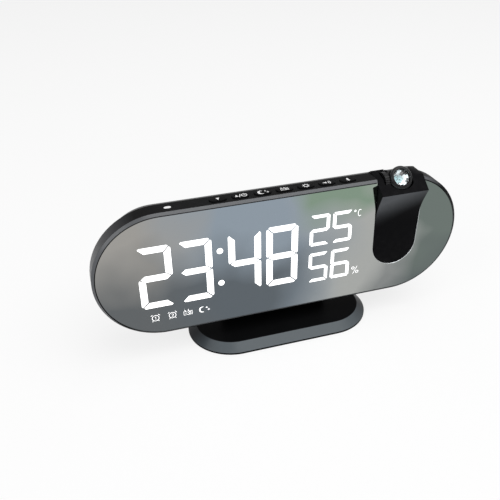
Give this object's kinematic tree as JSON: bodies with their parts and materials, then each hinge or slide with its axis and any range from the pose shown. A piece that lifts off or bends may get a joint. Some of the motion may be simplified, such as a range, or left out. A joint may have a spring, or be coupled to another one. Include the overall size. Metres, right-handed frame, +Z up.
{
  "type": "projection alarm clock",
  "caption": "Pill-shaped mirror-faced digital alarm clock on a low oval base, with a tilting time projector set in a notch on the right and a row of keys along the top",
  "frame": {"origin": "centre of the base's outline, on the table", "axes": "+X right along the face as seen from the front, +Y away from the viewer, +Z up; the display faces -Y"},
  "size_m": [0.208, 0.052, 0.0943],
  "materials": {
    "case_black": "gloss",
    "tinted_mirror": "polished",
    "white_film": "satin",
    "white_plastic": "satin",
    "lit_guide": "satin",
    "board_green": "satin",
    "led_white": "gloss",
    "pod_black": "satin",
    "lens_glass": "polished",
    "slide_glass": "polished",
    "lamp_red": "gloss",
    "cover_black": "fine texture",
    "cell_steel": "satin",
    "contact_brass": "satin",
    "screw_steel": "satin",
    "cone_paper": "matte",
    "chip_black": "satin",
    "smoke_lens": "gloss",
    "base_gloss": "gloss",
    "key_black": "satin",
    "foot_rubber": "matte"
  },
  "bodies": {
    "root": {"front_frame": "case_black", "mirror_panel": "tinted_mirror", "diffuser_film": "white_film", "segment_reflector": "white_plastic", "segment_light_guides": "lit_guide", "display_board": "board_green", "display_leds": "led_white", "projector_block": "case_black", "rear_cover": "cover_black", "coin_cell": "cell_steel", "cell_contact": "contact_brass", "power_jack": "cover_black", "power_jack_pin": "cell_steel", "usb_socket": "cell_steel", "usb_tongue": "case_black", "cover_screws": "screw_steel", "speaker_basket": "screw_steel", "speaker_cone": "cone_paper", "speaker_magnet": "screw_steel", "main_board": "board_green", "board_posts": "white_plastic", "main_chips": "chip_black", "clock_crystal": "cell_steel", "board_link": "chip_black", "climate_sensor": "led_white", "key_board": "board_green", "key_switches": "chip_black", "key_plungers": "white_plastic", "sensor_window": "smoke_lens", "light_sensor": "led_white", "stand_neck": "cover_black", "base_cover": "base_gloss", "base_plate": "cover_black", "base_weight": "screw_steel", "stand_screws": "screw_steel", "neck_screws": "screw_steel", "foot_front_left": "foot_rubber", "foot_rear_left": "foot_rubber", "foot_front_right": "foot_rubber", "foot_rear_right": "foot_rubber"},
    "projector_pod": {"lens_pod": "pod_black", "projection_lens": "lens_glass", "time_slide": "slide_glass", "projection_lamp": "lamp_red"},
    "focus_ring": {"focus_ring": "pod_black"},
    "down_key": {"down_key": "key_black"},
    "up_key": {"up_key": "key_black"},
    "snooze_key": {"snooze_key": "key_black"},
    "projector_key": {"projector_key": "key_black"},
    "set_key": {"set_key": "key_black"},
    "volume_key": {"volume_key": "key_black"},
    "alarm_key": {"alarm_key": "key_black"},
    "battery_door": {"battery_door": "cover_black"}
  },
  "joints": [
    {"name": "projector_tilt", "type": "hinge", "parent": "root", "child": "projector_pod", "pos_m": [0.0652, -0.0093, 0.0858], "axis": [-1, 0, 0], "range_deg": [-27, 113]},
    {"name": "focus_turn", "type": "hinge", "parent": "projector_pod", "child": "focus_ring", "pos_m": [0.0652, -0.0093, 0.0858], "axis": [0, -0.7986, 0.6018], "range_deg": [-45, 45]},
    {"name": "down_key_press", "type": "slide", "parent": "root", "child": "down_key", "axis": [0, 0, -1], "range_m": [0, 0.0003], "stiffness_N_per_m": 300, "springref_m": -0.0005},
    {"name": "up_key_press", "type": "slide", "parent": "root", "child": "up_key", "axis": [0, 0, -1], "range_m": [0, 0.0003], "stiffness_N_per_m": 300, "springref_m": -0.0005},
    {"name": "snooze_key_press", "type": "slide", "parent": "root", "child": "snooze_key", "axis": [0, 0, -1], "range_m": [0, 0.0003], "stiffness_N_per_m": 300, "springref_m": -0.0005},
    {"name": "projector_key_press", "type": "slide", "parent": "root", "child": "projector_key", "axis": [0, 0, -1], "range_m": [0, 0.0003], "stiffness_N_per_m": 300, "springref_m": -0.0005},
    {"name": "set_key_press", "type": "slide", "parent": "root", "child": "set_key", "axis": [0, 0, -1], "range_m": [0, 0.0003], "stiffness_N_per_m": 300, "springref_m": -0.0005},
    {"name": "volume_key_press", "type": "slide", "parent": "root", "child": "volume_key", "axis": [0, 0, -1], "range_m": [0, 0.0003], "stiffness_N_per_m": 300, "springref_m": -0.0005},
    {"name": "alarm_key_press", "type": "slide", "parent": "root", "child": "alarm_key", "axis": [0, 0, -1], "range_m": [0, 0.0003], "stiffness_N_per_m": 300, "springref_m": -0.0005},
    {"name": "battery_door_slide", "type": "slide", "parent": "root", "child": "battery_door", "axis": [0, 1, 0], "range_m": [0, 0.02]}
  ]
}
